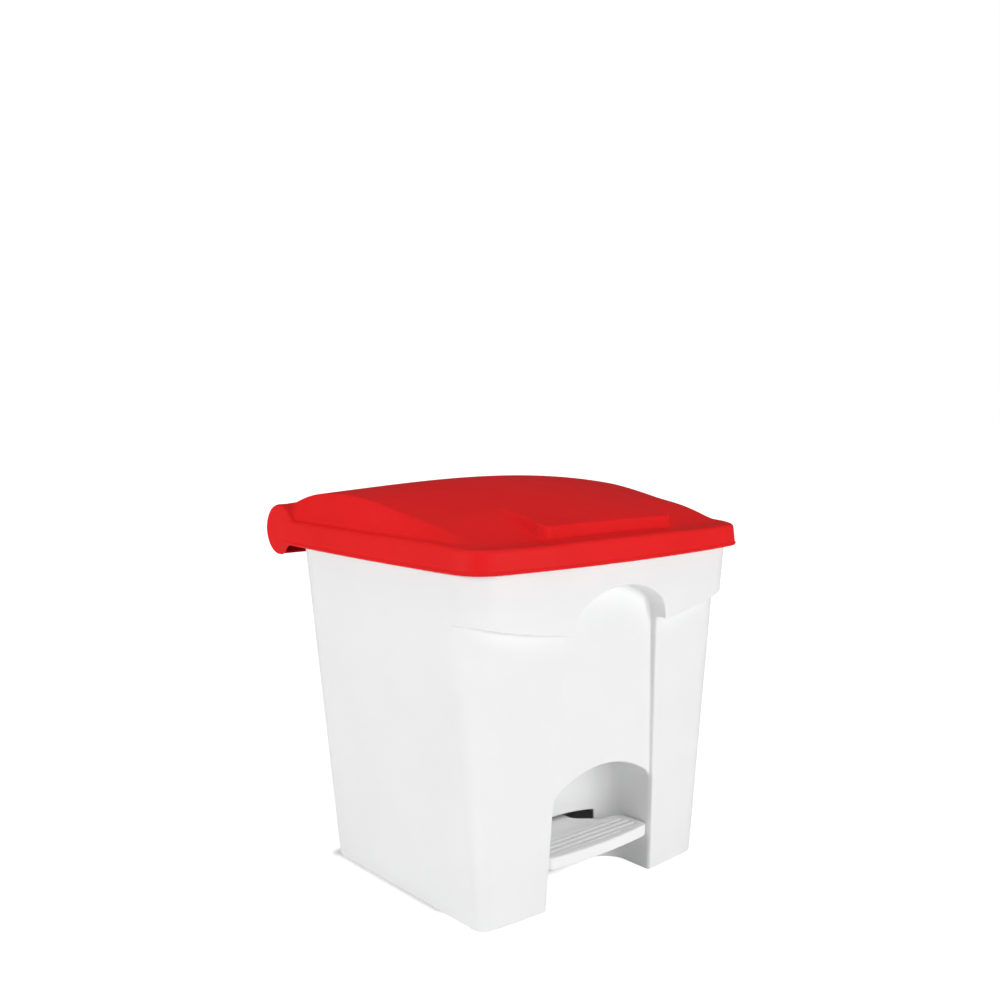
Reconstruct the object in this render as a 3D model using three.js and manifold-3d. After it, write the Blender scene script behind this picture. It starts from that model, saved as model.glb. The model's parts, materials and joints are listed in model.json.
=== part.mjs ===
// Pedal bin: a tapered plastic tub with a front pedal alcove, a domed lid that turns on two
// pins behind the rear wall, and a lever and push rod that lift the lid when the pedal goes down.
//
// Millimetres, +Z up, front towards -Y. The origin is on the floor, under the middle of the bin.

import * as THREE from 'three';
import { mergeVertices } from 'three/addons/utils/BufferGeometryUtils.js';
import Module from 'manifold-3d';

const wasm = await Module();
wasm.setup();

// ---------------------------------------------------------------- driving dimensions

const WALL = 2.8;                 // moulded wall thickness
const GAP = 0.3;                  // clearance between pieces that touch
const CURVE_STEPS = 6;            // straight steps along each curve of an outline

// Tub: a tapered box that is wider and deeper at the top. Values at the floor and at TAPER_TOP.
const TAPER_TOP = 356.7;
const TUB_HALF_WIDTH = [159.2, 195.6];
const TUB_FRONT = [-153.5, -172.1];
const TUB_BACK = [115.2, 140.5];
const TUB_FRONT_BOW = 6.2;
const TUB_CORNER = [14, 43];
const RIM_TOP = 378;
const RIM_NECK = 3.5;             // how far the rim is drawn in, to stand inside the lid's skirt
const FLOOR_BOTTOM = 59;          // underside of the raised floor, with the lever below it

// Collar: the band across the top of the front face that stands out and merges at the corners.
const COLLAR_BOTTOM = 292.5;
const COLLAR_STEP = 1.5;
const COLLAR_DEPTH = 14;
const COLLAR_BOW = 10;
const COLLAR_CORNER = 0.84;        // of the wall's corner radius

// Recess down the middle of the front face, with the pedal alcove at its foot.
const RECESS_HALF_WIDTH = 77.8;   // at the floor
const RECESS_NARROWING = 0.0388;  // per millimetre of height
const RECESS_PLANE = -150.2;      // at the floor
const RECESS_LEAN = -0.034;       // per millimetre of height
const RECESS_ARCH_TOP = 331;
const RECESS_ARCH_RADIUS = 98;
const ALCOVE_ARCH_TOP = 137;
const ALCOVE_ARCH_RADIUS = 120.6;
const ALCOVE_SIDE_END = -116.5;   // where the straight side walls turn into the curved back
const ALCOVE_BACK_DEPTH = 42;
const SLOT_HALF_WIDTH = 56;
const SLOT_BOTTOM = 15;
const SLOT_TOP = 56;

// Hinge: two pins behind the rear wall, inside the rolled back edge of the lid.
const HINGE_Y = 170;
const HINGE_Z = 372;
const PIN_RADIUS = 3;
const EAR_INNER = 152;
const EAR_OUTER = 171;
const EAR_RADIUS = 9;
const EAR_ARM = 6;                // half the height of the arm from the rim to the pin
const HINGE_RIB = 4;

// Lid.
const LID_BOTTOM = 356.7;
const LID_HALF_WIDTH = 205;
const LID_SIDE_BOW = 5.3;
const LID_FRONT = -199;
const LID_FRONT_BOW = 11;
const LID_CORNER = 35;
const LID_BACK = HINGE_Y + 2;
const SHELF_Z = 383;
const ROOF_TOP = 432.4;
const ROLL_RADIUS = 29;
const ROLL_END = 198;
const ROLL_LIP_ANGLE = 175;       // from straight up, over the back, to the lip of the roll

// Lever and push rod.
const PIVOT_Y = -33;
const PIVOT_Z = 36.5;
const LEVER_HALF_WIDTH = 12;
const LEVER_DEPTH = 12;
const LEVER_SHEET = 2.5;
const LEVER_FLAT_TOP = 44.7;
const LEVER_TIP = { y: 118, top: 22.5 };
const PEG_RADIUS = 3.5;
const PEG_ARM = 35;               // from the hinge axis to the lid's peg
const PEG_START = 25;             // degrees below level when the lid is closed
const ROD_RADIUS = 3;
const ROD_Y = 138;                // at the top of the rod cap
const ROD_FOOT_Z = 23.7;          // underside of the rod's foot
const GROOVE_HALF_WIDTH = 22;
const GROOVE_BOTTOM = 10;
const GROOVE_FLOOR_Y = 127;       // at the height of the hinge

// Pedal.
const PEDAL_TOP = 54;
const PEDAL_THICKNESS = 13;
const PEDAL_HALF_WIDTH = 74;
const PEDAL_FRONT = -156.5;
const PEDAL_BACK = -109;
const PEDAL_CORNER = 12;
const PEDAL_BACK_CORNER = 22;
const PEDAL_BOW = 4;
const PEDAL_EDGE = 6;             // thickness of the pedal's rim round its hollow underside
const NECK_ROOT = 50;             // half width of the neck where it leaves the pedal
const NECK_HALF_WIDTH = 26;
const NECK_NARROW = -79;          // where the neck has narrowed down
const NECK_END = -52;
const NECK_TOP = 53;

// ---------------------------------------------------------------- materials

function plastic(color, roughness) {
  return new THREE.MeshStandardMaterial({ color, roughness, metalness: 0 });
}

function steel(color, roughness) {
  return new THREE.MeshStandardMaterial({ color, roughness, metalness: 1 });
}

const LOOKS = {
  white: () => plastic(0xf2f2f2, 0.45),
  red: () => plastic(0xd22b2c, 0.45),
  pedal: () => plastic(0xe6e6e6, 0.5),
  grey: () => plastic(0xb9bcc0, 0.5),
  rubber: () => plastic(0x2b2b2d, 0.85),
  zinc: () => steel(0xb8bcc2, 0.35),
};

// ---------------------------------------------------------------- solids

function bare(geometry) {
  const copy = geometry.clone();
  copy.deleteAttribute('normal');
  copy.deleteAttribute('uv');
  return mergeVertices(copy, 1e-4);
}

function signedVolume(points, triangles) {
  const [a, b, c] = [new THREE.Vector3(), new THREE.Vector3(), new THREE.Vector3()];
  let volume = 0;
  for (let i = 0; i < triangles.length; i += 3) {
    a.fromArray(points, 3 * triangles[i]);
    b.fromArray(points, 3 * triangles[i + 1]);
    c.fromArray(points, 3 * triangles[i + 2]);
    volume += a.dot(b.cross(c)) / 6;
  }
  return volume;
}

// A closed geometry as a solid, turned to face outwards, without its collapsed triangles.
function solid(geometry) {
  const merged = bare(geometry);
  const points = merged.attributes.position.array;
  const index = merged.index.array;
  const triangles = [];
  for (let i = 0; i < index.length; i += 3) {
    const [a, b, c] = [index[i], index[i + 1], index[i + 2]];
    if (a !== b && b !== c && c !== a) triangles.push(a, b, c);
  }
  if (signedVolume(points, triangles) < 0) triangles.reverse();
  const mesh = new wasm.Mesh({
    numProp: 3,
    vertProperties: new Float32Array(points),
    triVerts: new Uint32Array(triangles),
  });
  return new wasm.Manifold(mesh);
}

function geometryOf(body) {
  const mesh = body.getMesh();
  const geometry = new THREE.BufferGeometry();
  geometry.setAttribute('position', new THREE.BufferAttribute(mesh.vertProperties, 3));
  geometry.setIndex(new THREE.BufferAttribute(mesh.triVerts, 1));
  geometry.computeVertexNormals();
  return geometry;
}

function joined(...bodies) {
  return bodies.reduce((whole, body) => whole.add(body));
}

function cut(body, ...tools) {
  return tools.reduce((rest, tool) => rest.subtract(tool), body);
}

function block(x0, x1, y0, y1, z0, z1) {
  const geometry = new THREE.BoxGeometry(x1 - x0, y1 - y0, z1 - z0);
  return solid(geometry.translate((x0 + x1) / 2, (y0 + y1) / 2, (z0 + z1) / 2));
}

// Extrusions of a flat shape: upwards, along X from a Y-Z shape, along Y from an X-Z shape.
function extruded(shape, length) {
  const options = { depth: length, bevelEnabled: false, curveSegments: 12 };
  return new THREE.ExtrudeGeometry(shape, options);
}

function alongZ(shape, z0, z1) {
  return extruded(shape, z1 - z0).translate(0, 0, z0);
}

function alongX(shape, x0, x1) {
  const turn = new THREE.Matrix4().makeBasis(
    new THREE.Vector3(0, 1, 0), new THREE.Vector3(0, 0, 1), new THREE.Vector3(1, 0, 0));
  return extruded(shape, x1 - x0).applyMatrix4(turn).translate(x0, 0, 0);
}

function alongY(shape, y0, y1) {
  return extruded(shape, y1 - y0).rotateX(Math.PI / 2).translate(0, y1, 0);
}

// Cylinders between two ends, with the axis along X, Y or Z.
function rodX(radius, x0, x1, y, z, sides = 20) {
  const geometry = new THREE.CylinderGeometry(radius, radius, x1 - x0, sides);
  return geometry.rotateZ(Math.PI / 2).translate((x0 + x1) / 2, y, z);
}

function rodY(radius, x, y0, y1, z, sides = 20) {
  const geometry = new THREE.CylinderGeometry(radius, radius, y1 - y0, sides);
  return geometry.translate(x, (y0 + y1) / 2, z);
}

function rodZ(radius, x, y, z0, z1, sides = 20) {
  const geometry = new THREE.CylinderGeometry(radius, radius, z1 - z0, sides);
  return geometry.rotateX(Math.PI / 2).translate(x, y, (z0 + z1) / 2);
}

// A turned piece with its axis along Z: the profile is a list of [radius, height].
function turned(profile, sides = 20) {
  const points = profile.map(([radius, height]) => new THREE.Vector2(radius, height));
  return new THREE.LatheGeometry(points, sides).rotateX(Math.PI / 2);
}

// ---------------------------------------------------------------- outlines and lofts

// Plan outline of a box with a bowed front, bowed sides and rounded corners.
function planOutline({ halfWidth, front, back, frontBow, sideBow, frontCorner, backCorner }) {
  const edge = halfWidth - sideBow;
  const frontX = edge - frontCorner;
  const frontY = front + frontBow;
  const cornerY = frontY + 2 * frontBow * (edge - frontX) / frontX;
  const sideStart = cornerY + frontCorner;
  const sideEnd = back - backCorner;
  const bulge = halfWidth + sideBow;
  const path = new THREE.Path();
  path.moveTo(-frontX, frontY);
  path.quadraticCurveTo(0, front - frontBow, frontX, frontY);
  path.quadraticCurveTo(edge, cornerY, edge, sideStart);
  path.quadraticCurveTo(bulge, (sideStart + sideEnd) / 2, edge, sideEnd);
  path.quadraticCurveTo(edge, back, edge - backCorner, back);
  path.lineTo(-(edge - backCorner), back);
  path.quadraticCurveTo(-edge, back, -edge, sideEnd);
  path.quadraticCurveTo(-bulge, (sideStart + sideEnd) / 2, -edge, sideStart);
  path.quadraticCurveTo(-edge, cornerY, -frontX, frontY);
  const points = path.getPoints(CURVE_STEPS);
  points.pop();
  return points;
}

// A solid through rings of equal point count, closed at both ends by a point in the middle.
function loft(rings, bottom, top) {
  const count = rings[0].length;
  const levels = rings.length + 2;
  const profile = Array.from({ length: levels }, (_, level) => new THREE.Vector2(1, level));
  const geometry = new THREE.LatheGeometry(profile, count);
  const { position, uv } = geometry.attributes;
  for (let i = 0; i < position.count; i += 1) {
    const around = Math.round(uv.getX(i) * count) % count;
    const level = Math.round(uv.getY(i) * (levels - 1));
    let point = bottom;
    if (level === levels - 1) point = top;
    else if (level > 0) point = rings[level - 1][around];
    position.setXYZ(i, point.x, point.y, point.z);
  }
  return solid(geometry);
}

function ringAt(outline, height) {
  return outline.map(({ x, y }) => new THREE.Vector3(x, y, height(x, y)));
}

function mix([low, high], amount) {
  return low + (high - low) * amount;
}

// ---------------------------------------------------------------- tub

function tubRing(z, inset, collar) {
  const amount = Math.min(z / TAPER_TOP, 1);
  const corner = Math.max(mix(TUB_CORNER, amount) - inset, 4);
  const outline = planOutline({
    halfWidth: mix(TUB_HALF_WIDTH, amount) - inset,
    front: mix(TUB_FRONT, amount) + inset - (collar ? COLLAR_DEPTH : 0),
    back: mix(TUB_BACK, amount) - inset,
    frontBow: collar ? COLLAR_BOW : TUB_FRONT_BOW,
    sideBow: 0,
    frontCorner: collar ? corner * COLLAR_CORNER : corner,
    backCorner: corner,
  });
  return ringAt(outline, () => z);
}

function tubOutside() {
  const rings = [
    tubRing(0, 0, false),
    tubRing(COLLAR_BOTTOM, 0, false),
    tubRing(COLLAR_BOTTOM + COLLAR_STEP, 0, true),
    tubRing(TAPER_TOP - 1, 0, true),
    tubRing(TAPER_TOP + 1, RIM_NECK, true),
    tubRing(RIM_TOP, RIM_NECK, true),
  ];
  return loft(rings, new THREE.Vector3(0, 0, 0), new THREE.Vector3(0, 0, RIM_TOP));
}

function tubInside() {
  const floor = FLOOR_BOTTOM + WALL;
  const above = RIM_TOP + 10;
  const rings = [
    tubRing(floor, WALL, false),
    tubRing(COLLAR_BOTTOM + WALL, WALL, false),
    tubRing(COLLAR_BOTTOM + WALL + COLLAR_STEP, WALL, true),
    tubRing(TAPER_TOP - 3, WALL, true),
    tubRing(TAPER_TOP, WALL + RIM_NECK, true),
    tubRing(above, WALL + RIM_NECK, true),
  ];
  return loft(rings, new THREE.Vector3(0, 0, floor), new THREE.Vector3(0, 0, above));
}

function underFloor() {
  const rings = [tubRing(-1, WALL, false), tubRing(FLOOR_BOTTOM, WALL, false)];
  return loft(rings, new THREE.Vector3(0, 0, -1), new THREE.Vector3(0, 0, FLOOR_BOTTOM));
}

// Front view of a doorway with leaning sides and a round arch, grown outwards by an offset.
function archShape(archTop, archRadius, offset) {
  const radius = archRadius + offset;
  const centre = archTop - archRadius;
  const sideAt = (z) => RECESS_HALF_WIDTH - RECESS_NARROWING * z + offset;
  const spring = Math.sqrt(radius ** 2 - sideAt(archTop) ** 2) + centre;
  const angle = Math.atan2(spring - centre, sideAt(spring));
  const shape = new THREE.Shape();
  shape.moveTo(-sideAt(-2), -2);
  shape.lineTo(sideAt(-2), -2);
  shape.lineTo(radius * Math.cos(angle), spring);
  shape.absarc(0, centre, radius, angle, Math.PI - angle, false);
  return shape;
}

function recessTool(offset) {
  const front = LID_FRONT - 20;
  const shape = archShape(RECESS_ARCH_TOP, RECESS_ARCH_RADIUS, offset);
  const geometry = alongY(shape, front, RECESS_PLANE + offset);
  const lean = new THREE.Matrix4().makeShear(0, 0, 0, 0, 0, RECESS_LEAN);
  return solid(geometry.applyMatrix4(lean));
}

function alcoveTool(offset) {
  const halfWidth = RECESS_HALF_WIDTH + offset;
  const depth = ALCOVE_BACK_DEPTH + offset;
  const plan = new THREE.Shape();
  plan.moveTo(-halfWidth, RECESS_PLANE - 40);
  plan.lineTo(halfWidth, RECESS_PLANE - 40);
  plan.lineTo(halfWidth, ALCOVE_SIDE_END);
  plan.absellipse(0, ALCOVE_SIDE_END, halfWidth, depth, 0, Math.PI, false);
  const shape = archShape(ALCOVE_ARCH_TOP, ALCOVE_ARCH_RADIUS, offset);
  const back = ALCOVE_SIDE_END + depth + 1;
  const doorway = solid(alongY(shape, RECESS_PLANE - 40, back));
  return solid(alongZ(plan, -2, ALCOVE_ARCH_TOP + offset + 1)).intersect(doorway);
}

// Groove down the outside of the rear wall, parallel to the wall, for the push rod.
const BACK_LEAN = (TUB_BACK[1] - TUB_BACK[0]) / TAPER_TOP;

function grooveTool(offset, z0) {
  const high = RIM_TOP + 12;
  const floorY = (z) => GROOVE_FLOOR_Y - BACK_LEAN * (HINGE_Z - z) - offset;
  const shape = new THREE.Shape();
  shape.moveTo(floorY(z0), z0);
  shape.lineTo(TUB_BACK[1] + 10, z0);
  shape.lineTo(TUB_BACK[1] + 10, high);
  shape.lineTo(floorY(high), high);
  const halfWidth = GROOVE_HALF_WIDTH + offset;
  return solid(alongX(shape, -halfWidth, halfWidth));
}

// Tunnel in the floor, where the rear of the lever rises.
const TUNNEL = { halfWidth: 24, front: 40, back: 108, top: 80 };

function tunnelTool(offset) {
  const { halfWidth, front, back, top } = TUNNEL;
  const side = halfWidth + offset;
  return block(-side, side, front - offset, back, FLOOR_BOTTOM - 1, top + offset);
}

// Each ear reaches back from the rim to hold a hinge pin.
function hingeEar(side) {
  const start = TUB_BACK[1] - RIM_NECK - 6;
  const x0 = side > 0 ? EAR_INNER : -EAR_OUTER;
  const x1 = x0 + EAR_OUTER - EAR_INNER;
  const arm = block(x0, x1, start, HINGE_Y - 3, HINGE_Z - EAR_ARM, HINGE_Z + EAR_ARM);
  return joined(arm, solid(rodX(EAR_RADIUS, x0, x1, HINGE_Y, HINGE_Z, 24)));
}

const FOOT_PLACES = [
  { name: 'foot_front_left', x: -130, y: -122 },
  { name: 'foot_front_right', x: 130, y: -122 },
  { name: 'foot_rear_left', x: -130, y: 86 },
  { name: 'foot_rear_right', x: 130, y: 86 },
];
const FOOT = { radius: 11, height: 6, stem: 3.9, stemTop: 16, boss: 8 };

const BRACKET_SCREW_PLACES = [-1, 1].flatMap((side) => [-11, 11].map((along) => (
  { x: side * 28, y: PIVOT_Y + along }
)));
const BRACKET = { inner: 17, sheet: 3, outer: 35, halfLength: 17, top: 49.7, boss: 5 };
const SCREW = { shank: 1.8, hole: 2.1, head: 3.8, headHeight: 2.2 };

function footBosses() {
  return FOOT_PLACES.map(({ x, y }) => (
    solid(rodZ(FOOT.boss, x, y, FOOT.height + GAP, FLOOR_BOTTOM + 1))));
}

function bracketBosses() {
  return BRACKET_SCREW_PLACES.map(({ x, y }) => (
    solid(rodZ(BRACKET.boss, x, y, BRACKET.top + GAP, FLOOR_BOTTOM + 1))));
}

function binBody() {
  const alcoveWall = alcoveTool(WALL);
  const waste = cut(tubInside(), alcoveWall, tunnelTool(WALL), recessTool(WALL),
    grooveTool(WALL, FLOOR_BOTTOM));
  const shell = cut(tubOutside(), waste, cut(underFloor(), alcoveWall));
  const withBosses = joined(shell, hingeEar(-1), hingeEar(1), ...footBosses(), ...bracketBosses());
  const slot = block(-SLOT_HALF_WIDTH, SLOT_HALF_WIDTH, ALCOVE_SIDE_END + 4,
    ALCOVE_SIDE_END + ALCOVE_BACK_DEPTH + WALL + 2, SLOT_BOTTOM, SLOT_TOP);
  const pinHole = solid(rodX(PIN_RADIUS + GAP, -EAR_OUTER - 5, EAR_OUTER + 5, HINGE_Y, HINGE_Z));
  const footHoles = FOOT_PLACES.map(({ x, y }) => (
    solid(rodZ(FOOT.stem + GAP, x, y, 0, FOOT.stemTop + GAP))));
  const screwHoles = BRACKET_SCREW_PLACES.map(({ x, y }) => (
    solid(rodZ(SCREW.hole, x, y, BRACKET.top - 1, FLOOR_BOTTOM - 1, 12))));
  return cut(withBosses, alcoveTool(0), recessTool(0), grooveTool(0, GROOVE_BOTTOM), tunnelTool(0),
    slot, pinHole, ...footHoles, ...screwHoles, ...guideScrewHoles());
}

// ---------------------------------------------------------------- lid

// Height of the roof's outer face: a dome that falls to the front and runs level into the roll.
// It droops towards the sides, less and less towards the hinge.
const ROOF = {
  crownY: 14.8,
  frontY: -160.5,
  frontFall: 35.8,
  backFall: 33,
  softening: 227,
  saddleY: -60.4,
  saddleFade: 42.6,
  droop: 19.5,
  droopFront: 14.8,
  droopAt: 185,
};

function roofHeight(x, y) {
  const { crownY, frontY, frontFall, backFall, softening, saddleY, saddleFade, droop, droopFront } = ROOF;
  const run = (distance) => distance ** 2 / (distance + softening);
  const ahead = run(Math.max(crownY - y, 0)) / run(crownY - frontY);
  const behind = Math.max(y - crownY, 0) / (HINGE_Y - crownY);
  const rearward = Math.min(Math.max(y - saddleY, 0) / (HINGE_Y - saddleY), 1);
  const forward = Math.max(saddleY - y, 0) / saddleFade;
  const sag = rearward > 0
    ? droop * Math.cos(rearward * Math.PI / 2) ** 1.5
    : droopFront + (droop - droopFront) * Math.exp(-(forward ** 2));
  return ROOF_TOP - frontFall * ahead - backFall * behind ** 2 - sag * (x / ROOF.droopAt) ** 2;
}

function lidRing(offset, front, z) {
  const outline = planOutline({
    halfWidth: LID_HALF_WIDTH - offset,
    front,
    back: LID_BACK,
    frontBow: LID_FRONT_BOW * (1 - Math.min(offset, 20) / 25),
    sideBow: LID_SIDE_BOW,
    frontCorner: LID_CORNER,
    backCorner: 1,
  });
  return ringAt(outline, z);
}

// The lid's rings from the bottom edge to the crown, drawn in by the wall for the inner face.
function lidRings(inset) {
  const shelf = () => SHELF_Z - inset;
  const roof = (x, y) => Math.max(roofHeight(x, y), SHELF_Z + 0.3) - inset;
  const level = (offset, front, z) => lidRing(offset + inset, front + inset, z);
  const rings = [
    level(0, LID_FRONT, () => LID_BOTTOM),
    level(0, LID_FRONT, () => LID_BOTTOM + 3),
    level(1, LID_FRONT + 1, () => LID_BOTTOM + 4),
    level(3, LID_FRONT + 3, () => SHELF_Z - 3 - inset),
    level(5.5, LID_FRONT + 5.5, shelf),
    level(10, -179, shelf),
    level(19, -160.5, roof),
  ];
  const rim = rings[rings.length - 1];
  const centre = new THREE.Vector2(0, 10);
  [0.8, 0.6, 0.4, 0.2].forEach((scale) => {
    rings.push(rim.map((point) => {
      const x = point.x * scale;
      const y = centre.y + (point.y - centre.y) * scale;
      return new THREE.Vector3(x, y, roof(x, y));
    }));
  });
  return { rings, crown: new THREE.Vector3(0, centre.y, roof(0, centre.y)) };
}

function lidCap() {
  const outer = lidRings(0);
  const bottom = new THREE.Vector3(0, 0, LID_BOTTOM);
  const outside = loft(outer.rings, bottom, outer.crown);
  const inner = lidRings(WALL);
  const past = 20;
  const roofFall = 0.42;
  const open = (point) => (point.y > LID_BACK - 1
    ? new THREE.Vector3(point.x, point.y + past, point.z - past * roofFall) : point);
  inner.rings = inner.rings.map((ring) => ring.map(open));
  inner.rings[0].forEach((point) => { point.z -= 5; });
  const below = new THREE.Vector3(0, 0, LID_BOTTOM - 5);
  return outside.subtract(loft(inner.rings, below, inner.crown));
}

// Point on a circle round the hinge, by the angle from straight up towards the back.
function aroundHinge(radius, degrees) {
  const angle = THREE.MathUtils.degToRad(degrees);
  return [HINGE_Y + radius * Math.sin(angle), HINGE_Z + radius * Math.cos(angle)];
}

function arcBand(inner, outer, start, end) {
  const toAngle = (degrees) => THREE.MathUtils.degToRad(90 - degrees);
  const shape = new THREE.Shape();
  shape.moveTo(...aroundHinge(outer, start));
  shape.absarc(HINGE_Y, HINGE_Z, outer, toAngle(start), toAngle(end), true);
  if (inner > 0) shape.absarc(HINGE_Y, HINGE_Z, inner, toAngle(end), toAngle(start), false);
  else shape.lineTo(HINGE_Y, HINGE_Z);
  return shape;
}

function hingeRib(x0) {
  const web = arcBand(0, ROLL_RADIUS - 1.5, -20, 85);
  const boss = rodX(EAR_RADIUS, x0, x0 + HINGE_RIB, HINGE_Y, HINGE_Z, 24);
  return joined(solid(alongX(web, x0, x0 + HINGE_RIB)), solid(boss));
}

const PEG = {
  y: HINGE_Y - PEG_ARM * Math.cos(THREE.MathUtils.degToRad(PEG_START)),
  z: HINGE_Z - PEG_ARM * Math.sin(THREE.MathUtils.degToRad(PEG_START)),
};
const LUG_INNER = 14;
const LUG_OUTER = 17;

// Two ribs hang from the roof and carry the peg that the push rod lifts.
function liftLug() {
  const front = PEG.y - 7;
  const back = PEG.y + 9;
  const intoRoof = WALL / 2;
  const rib = new THREE.Shape();
  rib.moveTo(front, PEG.z + 4);
  rib.lineTo(PEG.y - 2, PEG.z - PEG_RADIUS - 1);
  rib.lineTo(PEG.y + 3, PEG.z - PEG_RADIUS);
  rib.lineTo(back - 2, HINGE_Z);
  rib.lineTo(back, roofHeight(0, back) - intoRoof);
  rib.lineTo(front, roofHeight(0, front) - intoRoof);
  const ribs = [-LUG_OUTER, LUG_INNER].map((x0) => (
    solid(alongX(rib, x0, x0 + LUG_OUTER - LUG_INNER))));
  return joined(...ribs, solid(rodX(PEG_RADIUS, -LUG_INNER - 1, LUG_INNER + 1, PEG.y, PEG.z)));
}

function lid() {
  const roll = solid(alongX(arcBand(ROLL_RADIUS - WALL, ROLL_RADIUS, -4, ROLL_LIP_ANGLE),
    -ROLL_END, ROLL_END));
  const ends = [-1, 1].map((side) => {
    const x0 = side > 0 ? ROLL_END - WALL : -ROLL_END;
    return solid(rodX(ROLL_RADIUS, x0, x0 + WALL, HINGE_Y, HINGE_Z, 48));
  });
  const ribPlaces = [EAR_INNER - HINGE_RIB - 0.5, EAR_OUTER + 0.5];
  const ribs = ribPlaces.flatMap((x0) => [hingeRib(x0), hingeRib(-x0 - HINGE_RIB)]);
  const whole = joined(lidCap(), roll, ...ends, ...ribs, liftLug());
  const holes = [-1, 1].map((side) => {
    const middle = side * (EAR_INNER + EAR_OUTER) / 2;
    return solid(rodX(PIN_RADIUS + GAP, middle - 16, middle + 16, HINGE_Y, HINGE_Z));
  });
  const rodNotch = solid(alongX(arcBand(ROLL_RADIUS - 8, ROLL_RADIUS + 4, 118, 182), -20, 20));
  return cut(whole, ...holes, rodNotch);
}

// ---------------------------------------------------------------- pedal and lever

function pedalOutline() {
  const shape = new THREE.Shape();
  const w = PEDAL_HALF_WIDTH;
  const frontX = w - PEDAL_CORNER;
  const backX = w - PEDAL_BACK_CORNER;
  const frontY = PEDAL_FRONT + PEDAL_BOW;
  const cornerY = frontY + 1;
  shape.moveTo(-frontX, frontY);
  shape.quadraticCurveTo(0, PEDAL_FRONT - PEDAL_BOW, frontX, frontY);
  shape.quadraticCurveTo(w, cornerY, w, cornerY + PEDAL_CORNER);
  shape.lineTo(w, PEDAL_BACK - PEDAL_BACK_CORNER);
  shape.quadraticCurveTo(w, PEDAL_BACK, backX, PEDAL_BACK);
  shape.lineTo(-backX, PEDAL_BACK);
  shape.quadraticCurveTo(-w, PEDAL_BACK, -w, PEDAL_BACK - PEDAL_BACK_CORNER);
  shape.lineTo(-w, cornerY + PEDAL_CORNER);
  shape.quadraticCurveTo(-w, cornerY, -frontX, frontY);
  return shape;
}

// The neck starts inside the pedal, narrows through the alcove and carries on over the lever.
function neckOutline() {
  const start = PEDAL_BACK - 4;
  const shape = new THREE.Shape();
  shape.moveTo(-NECK_ROOT, start);
  shape.lineTo(NECK_ROOT, start);
  shape.lineTo(NECK_ROOT, PEDAL_BACK);
  shape.lineTo(NECK_HALF_WIDTH, NECK_NARROW);
  shape.lineTo(NECK_HALF_WIDTH, NECK_END);
  shape.lineTo(-NECK_HALF_WIDTH, NECK_END);
  shape.lineTo(-NECK_HALF_WIDTH, NECK_NARROW);
  shape.lineTo(-NECK_ROOT, PEDAL_BACK);
  return shape;
}

function pedal() {
  const bottom = PEDAL_TOP - PEDAL_THICKNESS;
  const seat = LEVER_FLAT_TOP + GAP;
  const plate = solid(alongZ(pedalOutline(), bottom, PEDAL_TOP));
  const inside = PEDAL_HALF_WIDTH - PEDAL_EDGE;
  const hollow = block(-inside, inside, PEDAL_FRONT + 10, PEDAL_BACK - PEDAL_EDGE, bottom - 1, seat);
  const neck = solid(alongZ(neckOutline(), seat, NECK_TOP));
  const beside = LEVER_HALF_WIDTH + 1;
  const leverWay = block(-beside, beside, LEVER_FRONT - 4, NECK_END + 2, bottom - 1, seat);
  const screwHoles = LEVER_SCREWS.map((y) => (
    solid(rodZ(SCREW.hole, 0, y, LEVER_FLAT_TOP - 1, NECK_TOP - 2, 12))));
  return cut(joined(plate, neck), hollow, leverWay, ...screwHoles);
}

const LEVER_FRONT = -128;
const LEVER_BEND = -50;
const LEVER_SCREWS = [-92, -62];

// Side view of the lever: level under the pedal, then falling to its tip at the rear.
function leverSide(front, back, top, depth) {
  const fall = (LEVER_FLAT_TOP - LEVER_TIP.top) / (LEVER_TIP.y - LEVER_BEND);
  const topAtBack = top - fall * (back - LEVER_BEND);
  const shape = new THREE.Shape();
  shape.moveTo(front, top - depth);
  shape.lineTo(LEVER_BEND, top - depth);
  shape.lineTo(back, topAtBack - depth);
  shape.lineTo(back, topAtBack);
  shape.lineTo(LEVER_BEND, top);
  shape.lineTo(front, top);
  return shape;
}

function pedalLever() {
  const bar = leverSide(LEVER_FRONT, LEVER_TIP.y, LEVER_FLAT_TOP, LEVER_DEPTH);
  const channel = leverSide(LEVER_FRONT - 1, LEVER_TIP.y + 1, LEVER_FLAT_TOP - LEVER_SHEET, LEVER_DEPTH);
  const inner = LEVER_HALF_WIDTH - LEVER_SHEET;
  const holes = LEVER_SCREWS.map((y) => (
    solid(rodZ(SCREW.hole, 0, y, LEVER_FLAT_TOP - 6, LEVER_FLAT_TOP + 1, 12))));
  const bore = solid(rodX(PIN_RADIUS + GAP, -20, 20, PIVOT_Y, PIVOT_Z));
  return cut(solid(alongX(bar, -LEVER_HALF_WIDTH, LEVER_HALF_WIDTH)),
    solid(alongX(channel, -inner, inner)), bore, ...holes);
}

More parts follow.
